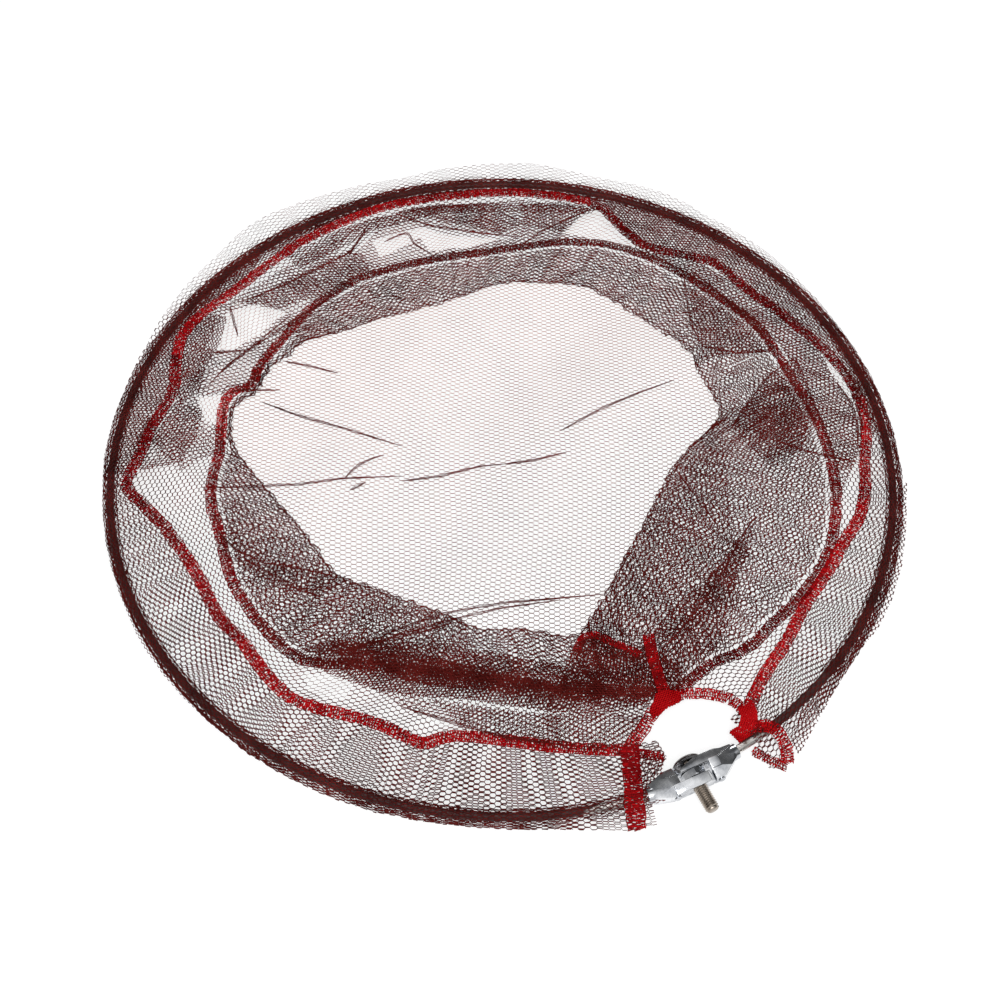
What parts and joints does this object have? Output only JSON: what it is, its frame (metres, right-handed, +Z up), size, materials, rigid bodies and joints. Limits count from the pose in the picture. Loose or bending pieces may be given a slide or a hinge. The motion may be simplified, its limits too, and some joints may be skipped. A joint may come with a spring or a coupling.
{
  "type": "folding landing net head",
  "caption": "Round wire hoop that folds in half, with a two-armed metal yoke and a handle screw, carrying a shallow fine-mesh bag with red sewn tapes, laid flat.",
  "frame": {"origin": "centre of the handle screw's flat outer end", "axes": "-Y along the handle screw, out of the hoop; the hoop lies in the XY plane with its centre on +Y; +Z up, as the net lies on the ground"},
  "size_m": [0.515, 0.5429, 0.017],
  "materials": {
    "steel_rod": "drawn, unpainted",
    "cast_arm": "cast, tumbled",
    "plated_screw": "zinc-nickel plated",
    "mesh": "fine knitted mesh",
    "red_tape": "woven tape"
  },
  "bodies": {
    "right_half": {"rod_right": "steel_rod", "arm_right": "cast_arm", "rod_pin_right": "plated_screw", "handle_screw": "plated_screw", "lock_nut": "plated_screw", "hinge_rivet": "steel_rod", "sleeve_net": "mesh", "upper_wall_net": "mesh", "lower_wall_net": "mesh", "bottom_net": "mesh", "upper_band": "red_tape", "lower_band": "red_tape", "sleeve_tape_left": "red_tape", "sleeve_tape_right": "red_tape", "cutout_tape": "red_tape", "seam_strap": "red_tape"},
    "left_half": {"rod_left": "steel_rod", "arm_left": "cast_arm", "rod_pin_left": "plated_screw"}
  },
  "joints": [
    {"name": "hoop_fold", "type": "hinge", "parent": "right_half", "child": "left_half", "pos_m": [0, 0.022, 0], "axis": [0, 1, 0], "range_deg": [0, 110], "deforming": ["sleeve_net", "upper_wall_net", "lower_wall_net", "bottom_net", "upper_band", "lower_band", "sleeve_tape_left", "sleeve_tape_right", "cutout_tape", "seam_strap"]}
  ]
}
